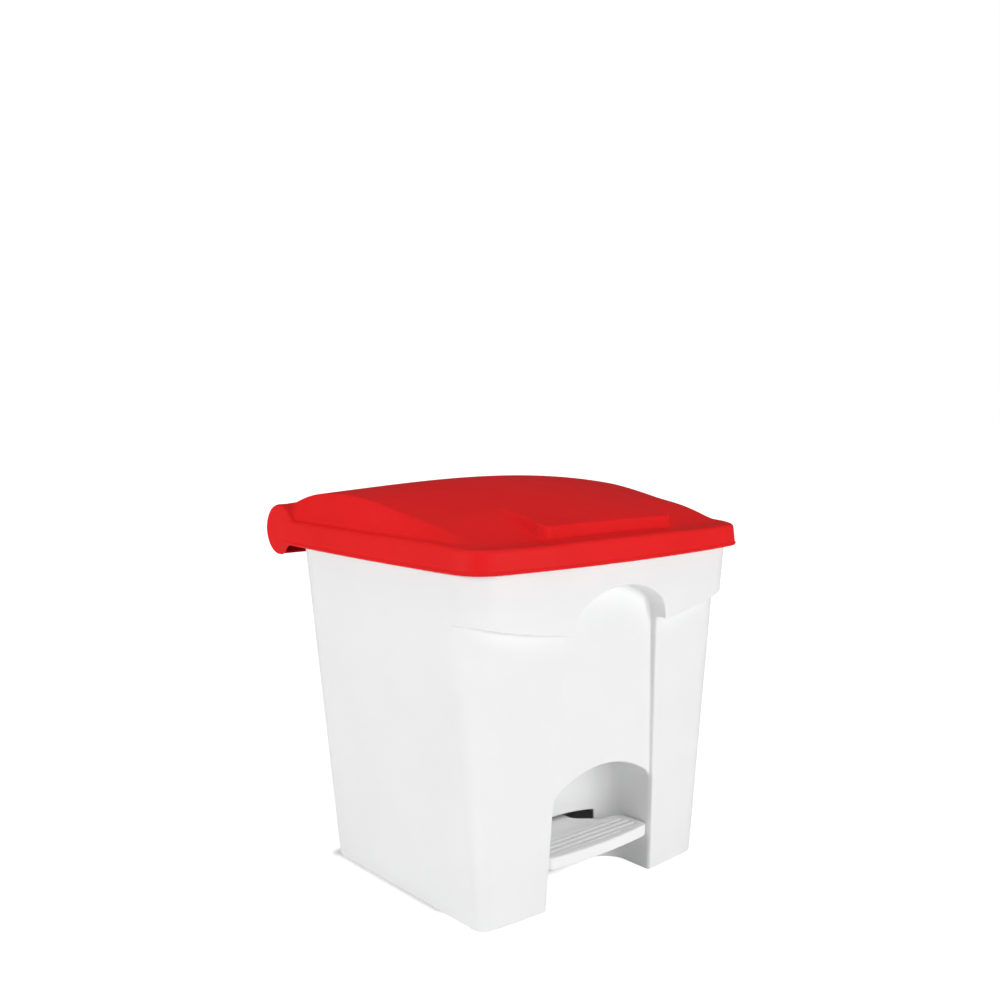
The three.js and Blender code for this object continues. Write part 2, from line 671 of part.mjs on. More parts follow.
function pivotBracket(side) {
  const { inner, sheet, outer, halfLength, top } = BRACKET;
  const plate = new THREE.Shape();
  plate.moveTo(PIVOT_Y - halfLength, top);
  plate.lineTo(PIVOT_Y - EAR_RADIUS, PIVOT_Z);
  plate.absarc(PIVOT_Y, PIVOT_Z, EAR_RADIUS, Math.PI, 2 * Math.PI, false);
  plate.lineTo(PIVOT_Y + halfLength, top);
  const from = side > 0 ? inner : -inner - sheet;
  const [x0, x1] = side > 0 ? [inner, outer] : [-outer, -inner];
  const flange = block(x0, x1, PIVOT_Y - halfLength, PIVOT_Y + halfLength, top - sheet, top);
  const holes = BRACKET_SCREW_PLACES.map(({ x, y }) => (
    solid(rodZ(SCREW.hole, x, y, top - sheet - 1, top + 1, 12))));
  const bore = solid(rodX(PIN_RADIUS + GAP, -30, 30, PIVOT_Y, PIVOT_Z));
  return cut(joined(solid(alongX(plate, from, from + sheet)), flange), bore, ...holes);
}

// A ring round the pivot axle.
function axleRing(radius, x0, x1) {
  return cut(solid(rodX(radius, x0, x1, PIVOT_Y, PIVOT_Z)),
    solid(rodX(PIN_RADIUS + GAP, x0 - 1, x1 + 1, PIVOT_Y, PIVOT_Z)));
}

// A pan-head screw along Z, head down, with the underside of its head at the origin.
function screw(length) {
  return turned([[0, length], [SCREW.shank, length - 1], [SCREW.shank, 0], [SCREW.head, 0],
    [SCREW.head, -1], [SCREW.head - 1.2, -SCREW.headHeight], [0, -SCREW.headHeight]], 10);
}

// ---------------------------------------------------------------- push rod, in its own leaning frame

const CAP_TOP = PEG.z - PEG_RADIUS - 0.35;
const ROD_LEAN = Math.atan(BACK_LEAN);
const ROD_FRAME = new THREE.Group();
ROD_FRAME.position.set(0, ROD_Y, CAP_TOP);
ROD_FRAME.rotation.x = -ROD_LEAN;
ROD_FRAME.updateMatrixWorld();

const ROD_LENGTH = (CAP_TOP - ROD_FOOT_Z) / Math.cos(ROD_LEAN);
const GROOVE_DEPTH = (ROD_Y - GROOVE_FLOOR_Y + BACK_LEAN * (HINGE_Z - CAP_TOP)) * Math.cos(ROD_LEAN);
const CAP = { halfWidth: 9, front: -8.5, back: 10.5, height: 12 };
const FOOT_CAP = { radius: 5, height: 10 };
const GUIDE = { height: 12, base: 5, halfWidth: 17, boss: 7.5, back: 4.6, screwX: 12.3 };
const GUIDE_HOLE_DEPTH = 3.1;
const GUIDE_SCREW_LENGTH = 6.8;
const GUIDE_PLACES = [
  { name: 'rod_guide_upper', z: -78 },
  { name: 'rod_guide_lower', z: -232 },
];

function inRodFrame(body) {
  return body.transform(ROD_FRAME.matrixWorld.elements);
}

function guideScrewHoles() {
  const back = -GROOVE_DEPTH + 1;
  return GUIDE_PLACES.flatMap(({ z }) => [-1, 1].map((side) => (
    inRodFrame(solid(rodY(SCREW.hole, side * GUIDE.screwX, back - GUIDE_HOLE_DEPTH, back, z, 12))))));
}

function rodCap() {
  const { halfWidth, front, back, height } = CAP;
  const body = block(-halfWidth, halfWidth, front, back, -height, 0);
  return cut(body, solid(rodZ(ROD_RADIUS + GAP, 0, 0, -height - 1, -4)));
}

function pushRod() {
  return solid(rodZ(ROD_RADIUS, 0, 0, -ROD_LENGTH + 3 + GAP, -4 - GAP));
}

function rodFoot() {
  const { radius, height } = FOOT_CAP;
  return cut(solid(rodZ(radius, 0, 0, -ROD_LENGTH, -ROD_LENGTH + height)),
    solid(rodZ(ROD_RADIUS + GAP, 0, 0, -ROD_LENGTH + 3, -ROD_LENGTH + height + 1)));
}

function rodGuide(z) {
  const seat = -GROOVE_DEPTH + GAP;
  const [z0, z1] = [z - GUIDE.height / 2, z + GUIDE.height / 2];
  const base = block(-GUIDE.halfWidth, GUIDE.halfWidth, seat, seat + GUIDE.base, z0, z1);
  const boss = block(-GUIDE.boss, GUIDE.boss, seat + 1, GUIDE.back, z0, z1);
  const holes = [-1, 1].map((side) => (
    solid(rodY(SCREW.hole, side * GUIDE.screwX, seat - 1, seat + GUIDE.base + 1, z, 12))));
  return cut(joined(base, boss), solid(rodZ(ROD_RADIUS + GAP, 0, 0, z0 - 1, z1 + 1)), ...holes);
}

// ---------------------------------------------------------------- assembly

const bin = new THREE.Group();
bin.name = 'pedal_bin';
bin.add(ROD_FRAME);

function place(name, shape, look, parent = bin) {
  const geometry = shape.isBufferGeometry ? bare(shape) : geometryOf(shape);
  const mesh = new THREE.Mesh(geometry, LOOKS[look]());
  mesh.name = name;
  parent.add(mesh);
  return mesh;
}

place('bin_body', binBody(), 'white');
place('lid', lid(), 'red');
place('pedal', pedal(), 'pedal');
place('pedal_lever', pedalLever(), 'zinc');

LEVER_SCREWS.forEach((y, i) => {
  const shape = solid(screw(NECK_TOP - 3 - LEVER_FLAT_TOP + LEVER_SHEET));
  place(`pedal_screw_${i + 1}`, shape, 'zinc').position.set(0, y, LEVER_FLAT_TOP - LEVER_SHEET - GAP);
});

place('pivot_axle', solid(rodX(PIN_RADIUS, -24.5, 24.5, PIVOT_Y, PIVOT_Z)), 'zinc');
[['left', -1], ['right', 1]].forEach(([word, side]) => {
  const span = (a, b) => (side > 0 ? [a, b] : [-b, -a]);
  const plateEnd = BRACKET.inner + BRACKET.sheet;
  place(`pivot_bracket_${word}`, pivotBracket(side), 'zinc');
  place(`axle_spacer_${word}`, axleRing(5.5, ...span(LEVER_HALF_WIDTH + GAP, BRACKET.inner - GAP)), 'grey');
  place(`axle_clip_${word}`, axleRing(7, ...span(plateEnd + GAP, plateEnd + 1.8)), 'zinc');
  const pinEnd = EAR_OUTER + HINGE_RIB + 1.5;
  const pinStart = EAR_INNER - HINGE_RIB - 1.5;
  place(`hinge_pin_${word}`, solid(rodX(PIN_RADIUS, ...span(pinStart, pinEnd), HINGE_Y, HINGE_Z)), 'zinc');
});

BRACKET_SCREW_PLACES.forEach(({ x, y }, i) => {
  const seat = BRACKET.top - BRACKET.sheet - GAP;
  place(`bracket_screw_${i + 1}`, solid(screw(FLOOR_BOTTOM - 2 - seat)), 'zinc').position.set(x, y, seat);
});

place('rod_cap', rodCap(), 'grey', ROD_FRAME);
place('push_rod', pushRod(), 'zinc', ROD_FRAME);
place('rod_foot', rodFoot(), 'grey', ROD_FRAME);
GUIDE_PLACES.forEach(({ name, z }) => {
  place(name, rodGuide(z), 'grey', ROD_FRAME);
  [['left', -1], ['right', 1]].forEach(([word, side]) => {
    const seat = -GROOVE_DEPTH + GAP + GUIDE.base + GAP;
    const screwName = `${name.replace('rod_guide', 'guide_screw')}_${word}`;
    const mesh = place(screwName, solid(screw(GUIDE_SCREW_LENGTH)), 'zinc', ROD_FRAME);
    mesh.rotation.x = Math.PI / 2;
    mesh.position.set(side * GUIDE.screwX, seat, z);
  });
});

FOOT_PLACES.forEach(({ name, x, y }) => {
  const profile = [[0, 0], [FOOT.radius, 0], [FOOT.radius, FOOT.height - 1], [FOOT.radius - 1, FOOT.height],
    [FOOT.stem, FOOT.height], [FOOT.stem, FOOT.stemTop], [0, FOOT.stemTop]];
  place(name, solid(turned(profile)), 'rubber').position.set(x, y, 0);
});

[['left', -60], ['right', 60]].forEach(([word, x]) => {
  const shape = solid(rodZ(4, x, -181, RIM_TOP + GAP, SHELF_Z - WALL - GAP));
  place(`lid_buffer_${word}`, shape, 'rubber');
});

export default bin;
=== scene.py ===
"""Pedal bin: a white tapered tub, a red domed lid and a ridged front pedal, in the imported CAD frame.

The three moulded pieces are signed distances in millimetres, turned into meshes by surface nets.
The hardware is the CAD's own, with procedural materials. Blender objects are in metres.
"""
import json
import math

import bpy
import numpy as np
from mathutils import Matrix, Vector


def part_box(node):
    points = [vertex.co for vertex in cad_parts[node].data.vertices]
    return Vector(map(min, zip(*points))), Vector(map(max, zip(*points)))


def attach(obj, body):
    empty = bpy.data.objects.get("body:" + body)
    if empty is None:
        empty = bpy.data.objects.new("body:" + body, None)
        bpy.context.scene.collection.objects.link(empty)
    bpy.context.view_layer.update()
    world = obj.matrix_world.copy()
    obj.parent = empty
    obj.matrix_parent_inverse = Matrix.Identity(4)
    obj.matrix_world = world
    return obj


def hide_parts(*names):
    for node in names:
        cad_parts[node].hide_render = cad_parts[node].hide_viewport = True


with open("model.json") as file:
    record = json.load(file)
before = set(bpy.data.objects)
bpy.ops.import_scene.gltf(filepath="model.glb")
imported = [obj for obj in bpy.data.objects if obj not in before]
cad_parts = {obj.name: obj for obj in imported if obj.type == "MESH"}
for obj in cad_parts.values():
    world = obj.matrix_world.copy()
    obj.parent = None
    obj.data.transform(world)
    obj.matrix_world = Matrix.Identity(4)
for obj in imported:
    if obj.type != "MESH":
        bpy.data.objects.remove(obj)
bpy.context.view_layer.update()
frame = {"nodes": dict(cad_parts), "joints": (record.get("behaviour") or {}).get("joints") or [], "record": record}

MM = 0.001

# ---------------------------------------------------------------- driving dimensions, millimetres

WALL = 2.8

# Tub: values at the floor and at the height where the taper ends.
TAPER_TOP = 356.7
TUB_HALF_WIDTH = (159.2, 195.6)
TUB_FRONT = (-153.5, -172.1)
TUB_BACK = (115.2, 140.5)
TUB_FRONT_BOW = 6.2
TUB_CORNER = (14.0, 43.0)
RIM_TOP = 378.0
RIM_NECK = 3.5
NECK_LEAD = 3.5                     # how much lower the inner face steps in
NECK_HEIGHT = (-1.5, 2.5)           # where the step starts and ends, from the taper's top
FLOOR_BOTTOM = 59.0
COLLAR_BOTTOM = 286.8
COLLAR_LIFT = 17.0                  # the rise of its bottom edge towards the corners
COLLAR_SIDE_GAP = 1.8
COLLAR_LEVEL = 60.0                 # half width of its bottom edge's level part
COLLAR_LIFT_SPAN = 110.0
COLLAR_DEPTH = 14.0
COLLAR_BOW = 10.0
COLLAR_CORNER = 0.84

# Recess down the middle of the front, and the pedal alcove at its foot.
RECESS_HALF_WIDTH = 77.8
RECESS_NARROWING = 0.0388
RECESS_PLANE = -150.2
RECESS_LEAN = -0.034
RECESS_ARCH = (331.0, 98.0)         # top and radius
ALCOVE_ARCH = (137.0, 120.6)
ALCOVE_SIDE_END = -116.5
ALCOVE_BACK_DEPTH = 42.0
SLOT = (56.0, 15.0, 56.0)           # half width, bottom, top

# Rear: the hinge's ears and the push rod's groove.
LID_HINGE = next(joint for joint in frame["joints"] if joint["name"] == "lid_hinge")
HINGE_Y, HINGE_Z = (value / MM for value in LID_HINGE["pos_m"][1:])
PIN_RADIUS = 3.3
EAR = (152.0, 171.0)
EAR_RADIUS = 9.0
EAR_ARM_HALF = 6.0
GROOVE_HALF_WIDTH = 22.0
GROOVE_BOTTOM = 10.0
GROOVE_FLOOR_Y = 127.0
BACK_LEAN = (TUB_BACK[1] - TUB_BACK[0]) / TAPER_TOP
TUNNEL = (24.0, 40.0, 108.0, 80.0)  # half width, front, back, top

# Posts under the floor, for the feet and for the pivot brackets' screws.
FEET = [(130.0, y) for y in (-122.0, 86.0)]
FOOT_POST = (8.0, 6.3)              # radius and bottom
BRACKET_SCREWS = [(28.0, y) for y in (-44.0, -22.0)]
SCREW_POST = (5.0, 50.0)

# Lid.
LID_BOTTOM = 356.7
LID_EDGE = 199.7                    # half width at the ends of the sides
LID_SIDE_BOW = 5.3
LID_FRONT = -199.0
LID_FRONT_BOW = 11.0
LID_CORNER = 35.0
LID_SIDE = (11.4, 159.6)            # middle of the sides along Y, and half their length
LID_BACK = 172.0
SHELF_SIDE = 384.0
SHELF_FRONT = 382.2
SHELF_SAG = 1.4                     # how much lower the front shelf is beside its level middle
SHELF_LEVEL = 60.0
SHELF_DROP = (-110.0, 70.0)         # where the side shelf starts to fall to the front one, and its span
SIDE_FACET = (20.0, 10.5)           # the side facets' edges, in from the skirt's bottom edge
ROOF_TOP = 432.35
CROWN_Y = 14.8
FRONT_FALL = 0.468
BACK_FALL = 33.0
FALL_SOFTENING = 227.0
SADDLE_Y = -60.4
DROOP = (19.5, 14.8)                # at the saddle and at the front
DROOP_AT = 185.0                    # distance from the middle where the droop is measured
DROOP_POWER = 1.5
DROOP_FADE = 42.6
PLATEAU_RISE = 12.5
PLATEAU_START = -92.5
PLATEAU_RAMP = 72.0
PLATEAU_HALF_WIDTH = 97.0
PLATEAU_FRONT = -166.5
PLATEAU_CORNER = 12.0
PLATEAU_FACE = 3.0
STEEPEST = 3.2                      # slope beyond which the wall's thickness is measured less strictly
BEAD = (2.6, 4.2)                   # height of the step above the bottom edge's bead, start and end
SKIRT_LEAN = (2.0, 3.0, 26.0)       # how far it leans in, from and to which height
LEAN_FADE = (135.0, 165.0)
ROLL_RADIUS = 29.0
RIB_HALF = 2.0
RIB_STARTS = (EAR[0] - 4.5, EAR[1] + 0.5)
RIB_LEAN = math.radians(20)
PEG_RADIUS = 3.5
PEG_ARM = 35.0
PEG_START = math.radians(25)
LUG = (14.0, 17.0, 408.0)           # its ribs' inner and outer faces, and a height inside the roof
PIN_BORE = (140.0, 182.0)
ROD_NOTCH = (20.0, 14.0)            # half width, and how far below the hinge it starts

# Pedal.
PEDAL_TOP = 54.0
PEDAL_THICKNESS = 13.0
PEDAL_HALF_WIDTH = 74.4
PEDAL_FRONT = -156.5
PEDAL_BACK = -109.0
NECK_HALF_WIDTH = (26.0, 50.0)      # at the lever and at the pad
NECK_NARROW = -79.0
NECK_END = -52.0
NECK_TOP = 53.0
LEVER_TOP = 45.0
PEDAL_BOW = 4.0
PEDAL_CORNERS = (8.0, 22.0)         # front and back
PEDAL_RIM = 7.0
RIDGE_PITCH = 8.0
RIDGE_HEIGHT = 1.5
PEDAL_HOLLOW = ((-68.0, 68.0), (PEDAL_FRONT + 10, PEDAL_BACK - 5), (20.0, LEVER_TOP))
LEVER_WAY = ((-13.0, 13.0), (-132.0, -40.0), (20.0, LEVER_TOP))


# ---------------------------------------------------------------- distance helpers

def smax(a, b, k):
    """The larger of two distances, with the edge between them rounded over k."""
    near = np.maximum(k - np.abs(a - b), 0.0) / k
    return np.maximum(a, b) + near * near * k * 0.25


def smin(a, b, k):
    """The smaller of two distances, with the same rounding."""
    return -smax(-a, -b, k)


def step(t):
    """Smooth 0 to 1 as t goes from 0 to 1."""
    t = np.clip(t, 0.0, 1.0)
    return t * t * (3.0 - 2.0 * t)


def mix(pair, amount):
    """The value that lies amount of the way through a pair."""
    return pair[0] + (pair[1] - pair[0]) * amount


def slab(value, low, high):
    """Distance to the space between two parallel planes."""
    return np.abs(value - (low + high) / 2) - (high - low) / 2


def box(x, y, z, spans, k):
    near = smax(slab(x, *spans[0]), slab(y, *spans[1]), k)
    return smax(near, slab(z, *spans[2]), k)


def round_bar(x, y, z, centre, radius, span, k=0.8):
    """A round bar along X."""
    return smax(np.hypot(y - centre[0], z - centre[1]) - radius, slab(x, *span), k)


def round_post(x, y, z, centre, radius, span, k=0.8):
    """A round post along Z."""
    return smax(np.hypot(x - centre[0], y - centre[1]) - radius, slab(z, *span), k)


def plan(x, y, half_width, front, back, bow, front_corner, back_corner):
    """Plan outline of a box with a bowed front and rounded corners."""
    bowed = front + bow * (x / (half_width - front_corner)) ** 2
    outline = smax(np.abs(x) - half_width, bowed - y, front_corner)
    return smax(outline, y - back, back_corner)


# ---------------------------------------------------------------- tub

def neck(z):
    """How far the rim stands in from the wall below it."""
    start, end = NECK_HEIGHT
    return RIM_NECK * step((z - TAPER_TOP - start) / (end - start))


def tub_body(x, y, z):
    """The tub's solid outer form, with the collar, before anything is cut from it."""
    amount = np.clip(z / TAPER_TOP, 0.0, 1.0)
    corner = mix(TUB_CORNER, amount)
    half_width, front, back = (mix(pair, amount) for pair in (TUB_HALF_WIDTH, TUB_FRONT, TUB_BACK))
    wall = plan(x, y, half_width, front, back, TUB_FRONT_BOW, corner, corner)
    collar = plan(x, y, half_width - COLLAR_SIDE_GAP, front - COLLAR_DEPTH, back - COLLAR_SIDE_GAP,
                  COLLAR_BOW, corner * COLLAR_CORNER, corner)
    outward = np.clip((np.abs(x) - COLLAR_LEVEL) / COLLAR_LIFT_SPAN, 0.0, 1.1)
    collar = smax(collar, COLLAR_BOTTOM + COLLAR_LIFT * outward ** 1.5 - z, 1.2)
    return smin(wall, collar, 1.0) + neck(z)


def doorway(x, z, arch, k):
    """Front view of a doorway with leaning sides and a round arch."""
    top, radius = arch
    sides = np.abs(x) - RECESS_HALF_WIDTH + RECESS_NARROWING * z
    curve = np.where(z > top - radius, np.hypot(x, z - top + radius), np.abs(x)) - radius
    return smax(sides, curve, k)


def recess(x, y, z):
    """The shallow panel down the middle of the front."""
    return smax(doorway(x, z, RECESS_ARCH, 12.0), y - RECESS_PLANE - RECESS_LEAN * z, 2.5)


def alcove(x, y, z):
    """The deep arch for the foot, with an elliptical back."""
    along = np.maximum(y - ALCOVE_SIDE_END, 0.0)
    ratio = np.hypot(x / RECESS_HALF_WIDTH, along / ALCOVE_BACK_DEPTH)
    slope = np.hypot(x / RECESS_HALF_WIDTH ** 2, along / ALCOVE_BACK_DEPTH ** 2)
    back = (ratio - 1.0) / np.maximum(slope / np.maximum(ratio, 0.05), 0.004)
    return smax(doorway(x, z, ALCOVE_ARCH, 8.0), back, 4.0)


def groove(x, y, z):
    """The push rod's groove up the leaning rear wall."""
    floor = GROOVE_FLOOR_Y - BACK_LEAN * (HINGE_Z - z)
    return smax(smax(np.abs(x) - GROOVE_HALF_WIDTH, floor - y, 2.5), GROOVE_BOTTOM - z, 2.0)


def tub(x, y, z):
    """The tub: its outer form less the recess, alcove, groove, inside and underside, with its ears."""
    body = tub_body(x, y, z)
    front = smax(smax(body, -recess(x, y, z), 2.5), -alcove(x, y, z), 2.5)
    rod_groove = groove(x, y, z)
    grooved = smax(front, -rod_groove, 2.5)
    floor_top = FLOOR_BOTTOM + WALL
    half, near, far, top = TUNNEL
    outer_spans = ((-half - WALL, half + WALL), (near - WALL, far + WALL + 6), (0.0, top + WALL))
    tunnel_outer = box(x, y, z, outer_spans, 3.0)
    inner_wall = grooved + WALL + neck(z + NECK_LEAD) - neck(z)
    waste = smax(smax(inner_wall, floor_top - z, 4.0), -tunnel_outer, 2.5)
    tunnel_inner = box(x, y, z, ((-half, half), (near, far), (FLOOR_BOTTOM - 20, top)), 2.0)
    under = smin(smax(front + WALL, z - FLOOR_BOTTOM, 2.0), tunnel_inner, 1.0)
    shell = smax(smax(grooved, z - RIM_TOP, 1.6), -z, 1.2)
    shell = smax(smax(shell, -waste, 1.2), -under, 1.0)
    slot_half, slot_bottom, slot_top = SLOT
    slot = box(x, y, z, ((-slot_half, slot_half), (-100.0, -66.0), (slot_bottom, slot_top)), 2.0)
    shell = smax(shell, -slot, 1.0)
    side = np.abs(x)
    for places, (radius, bottom), fillet in ((FEET, FOOT_POST, 2.0), (BRACKET_SCREWS, SCREW_POST, 1.0)):
        for place in places:
            post = round_post(side, y, z, place, radius, (bottom, FLOOR_BOTTOM + 1))
            shell = smin(shell, post, fillet)
    arm_start = TUB_BACK[1] - RIM_NECK - WALL / 2
    arm_height = (HINGE_Z - EAR_ARM_HALF, HINGE_Z + EAR_ARM_HALF)
    arm = box(side, y, z, (EAR, (arm_start, HINGE_Y), arm_height), 2.0)
    ear = smin(arm, round_bar(side, y, z, (HINGE_Y, HINGE_Z), EAR_RADIUS, EAR, 1.5), 2.0)
    ear = smax(ear, PIN_RADIUS - np.hypot(y - HINGE_Y, z - HINGE_Z), 0.8)
    return smin(shell, ear, 2.5)


# ---------------------------------------------------------------- lid

def dome(x, y):
    """The roof beside the plateau: it falls to the front, droops to the sides and meets the roll."""
    ahead = np.maximum(CROWN_Y - y, 0.0)
    behind = np.maximum(y - CROWN_Y, 0.0)
    fall = FRONT_FALL * ahead ** 2 / (ahead + FALL_SOFTENING)
    fall = fall + BACK_FALL * (behind / (HINGE_Y - CROWN_Y)) ** 2
    rearward = np.clip((y - SADDLE_Y) / (HINGE_Y - SADDLE_Y), 0.0, 1.0)
    forward = np.maximum(SADDLE_Y - y, 0.0)
    fade = np.maximum(np.cos(rearward * math.pi / 2), 0.0) ** DROOP_POWER
    droop = np.where(y > SADDLE_Y, DROOP[0] * fade,
                     mix(DROOP, 1.0 - np.exp(-(forward / DROOP_FADE) ** 2)))
    lowered = plateau_rise(y)
    return ROOF_TOP - fall - lowered - (droop - lowered) * (x / DROOP_AT) ** 2


def plateau_rise(y):
    """How far the middle of the roof stands up from the roof beside it."""
    return PLATEAU_RISE * step((PLATEAU_START - y) / PLATEAU_RAMP)


def side_line(y):
    """Half width of the skirt's bottom edge."""
    middle, half = LID_SIDE
    return LID_EDGE + LID_SIDE_BOW * (1.0 - np.clip((y - middle) / half, -1.0, 1.0) ** 2)


def roof(x, y, inset=0.0):
    """Height of the roof: the dome with its plateau, the side facets and the shelf round them."""
    side = np.abs(x)
    outline = smax(side - PLATEAU_HALF_WIDTH, PLATEAU_FRONT - y, PLATEAU_CORNER)
    height = dome(x, y) + plateau_rise(y) * step(-(outline + inset) / (PLATEAU_FACE + inset))
    front_shelf = SHELF_FRONT - SHELF_SAG * step((side - SHELF_LEVEL) / SHELF_LEVEL)
    drop_start, drop_span = SHELF_DROP
    shelf = SHELF_SIDE - (SHELF_SIDE - front_shelf) * step((drop_start - y) / drop_span)
    edge = side_line(y)
    upper, lower = SIDE_FACET
    rise = np.maximum(dome(edge - upper, y) - shelf, 2.0)
    side_facet = shelf + rise * (edge - lower - side) / (upper - lower)
    height = smin(height, side_facet, 4.0)
    return smax(height, shelf, 2.0)


def roof_distance(x, y, z, inset=0.0):
    """Distance up from the roof, or from its inner face."""
    height = roof(x, y, inset)
    reach = 0.5
    slope_x = (roof(x + reach, y, inset) - height) / reach
    slope_y = (roof(x, y + reach, inset) - height) / reach
    steepness = np.sqrt(1.0 + slope_x ** 2 + slope_y ** 2)
    return (z - height) / np.minimum(steepness, STEEPEST) + inset


def skirt(x, y, z):
    """Distance to the skirt's sides and front, which lean in above a bead round the bottom edge."""
    height = z - LID_BOTTOM
    lean, low, high = SKIRT_LEAN
    bead = step((height - BEAD[0]) / (BEAD[1] - BEAD[0]))
    bead = bead + lean * np.clip((height - low) / (high - low), 0.0, 1.0)
    inset = bead + (lean - bead) * step((y - LEAN_FADE[0]) / (LEAN_FADE[1] - LEAN_FADE[0]))
    bowed = LID_FRONT + LID_FRONT_BOW * (x / (LID_EDGE - LID_CORNER)) ** 2
    return smax(np.abs(x) - side_line(y), bowed - y, LID_CORNER) + inset


def lid(x, y, z):
    """The lid: a hollow cap and roll, with the ribs round the tub's ears, the lug and the pin bores."""
    top = roof_distance(x, y, z)
    sides = skirt(x, y, z)
    radius = np.hypot(y - HINGE_Y, z - HINGE_Z)
    cap = smax(smax(top, y - LID_BACK, 1.0), LID_BOTTOM - z, 1.2)
    outer = smax(smin(cap, radius - ROLL_RADIUS, 6.0), sides, 4.0)
    hollow = smax(smax(roof_distance(x, y, z, WALL), y - LID_BACK - 0.5, 0.6), sides + WALL, 3.0)
    roll_hollow = smax(radius - ROLL_RADIUS + WALL, sides + WALL, 2.0)
    hollow = smin(hollow, roll_hollow, 3.0)
    shell = smax(outer, -hollow, 0.9)
    side = np.abs(x)
    ahead = (HINGE_Y - y) * math.cos(RIB_LEAN) - (z - HINGE_Z) * math.sin(RIB_LEAN)
    web = np.maximum(np.maximum(radius - ROLL_RADIUS + 1.5, HINGE_Z - z), ahead)
    for start in RIB_STARTS:
        span = (start, start + 2 * RIB_HALF)
        rib = smin(smax(web, slab(side, *span), 0.8),
                   round_bar(side, y, z, (HINGE_Y, HINGE_Z), EAR_RADIUS, span), 1.5)
        shell = smin(shell, rib, 1.2)
    shell = smin(shell, lift_lug(side, y, z), 1.2)
    bore = smax(radius - PIN_RADIUS, slab(side, *PIN_BORE), 0.4)
    shell = smax(shell, -bore, 0.6)
    notch_half, notch_depth = ROD_NOTCH
    notch = smax(slab(radius, ROLL_RADIUS - 8, ROLL_RADIUS + 6), side - notch_half, 3.0)
    return smax(shell, -smax(notch, z - HINGE_Z + notch_depth, 2.0), 1.2)


def lift_lug(side, y, z):
    """Two ribs under the roof, with the peg between them that the push rod lifts."""
    peg = (HINGE_Y - PEG_ARM * math.cos(PEG_START), HINGE_Z - PEG_ARM * math.sin(PEG_START))
    inner, outer, top = LUG
    leg = smax(slab(y, peg[0] - 6.8, peg[0] + 9.0), slab(z, peg[1] - 4.5, top), 3.0)
    leg = smax(leg, slab(side, inner, outer), 0.8)
    roofed = smax(leg, z - dome(side, y) + 1.5, 0.5)
    return smin(roofed, round_bar(side, y, z, peg, PEG_RADIUS, (-inner - 1, inner + 1)), 1.0)


# ---------------------------------------------------------------- pedal

def pedal(x, y, z):
    """The ridged plate with its plain rim, and the neck that narrows towards the lever."""
    outline = plan(x, y, PEDAL_HALF_WIDTH, PEDAL_FRONT, PEDAL_BACK, PEDAL_BOW, *PEDAL_CORNERS)
    along = (y - PEDAL_BACK + 12.0) / RIDGE_PITCH
    wave = np.abs(along - np.round(along)) * RIDGE_PITCH
    ridge = 1.0 - step((wave - 1.0) / 1.4)
    pad = 1.0 - step((outline + PEDAL_RIM + 1.2) / 1.2)
    face = PEDAL_TOP - RIDGE_HEIGHT * pad * (1.0 - ridge)
    plate = smax(outline + 0.04 * (PEDAL_TOP - z), z - face, 2.2)
    plate = smax(plate, PEDAL_TOP - PEDAL_THICKNESS - z, 1.5)
    neck_width = mix(NECK_HALF_WIDTH, step((NECK_NARROW - y) / (NECK_NARROW - PEDAL_BACK)))
    neck = smax((np.abs(x) - neck_width) / 1.3, slab(y, PEDAL_BACK - 12, NECK_END), 2.0)
    neck = smax(neck, slab(z, LEVER_TOP, NECK_TOP - 1.0), 2.0)
    whole = smin(plate, neck, 2.0)
    hollow = smin(box(x, y, z, PEDAL_HOLLOW, 2.0), box(x, y, z, LEVER_WAY, 1.0), 0.5)
    return smax(whole, -hollow, 1.0)


# ---------------------------------------------------------------- surface nets

CORNERS = [(i, j, k) for i in (0, 1) for j in (0, 1) for k in (0, 1)]
EDGES = [(a, b) for a, first in enumerate(CORNERS) for b, second in enumerate(CORNERS)
         if a < b and sum(abs(p - q) for p, q in zip(first, second)) == 1]
SLAB = 10


def gradient(distance, points):
    """Direction and size of the steepest rise of a distance at points."""
    reach = 0.04
    columns = []
    for axis in range(3):
        shift = np.zeros(3, points.dtype)
        shift[axis] = reach
        ahead, behind = points + shift, points - shift
        columns.append((distance(*ahead.T) - distance(*behind.T)) / (2 * reach))
    return np.stack(columns, axis=1)


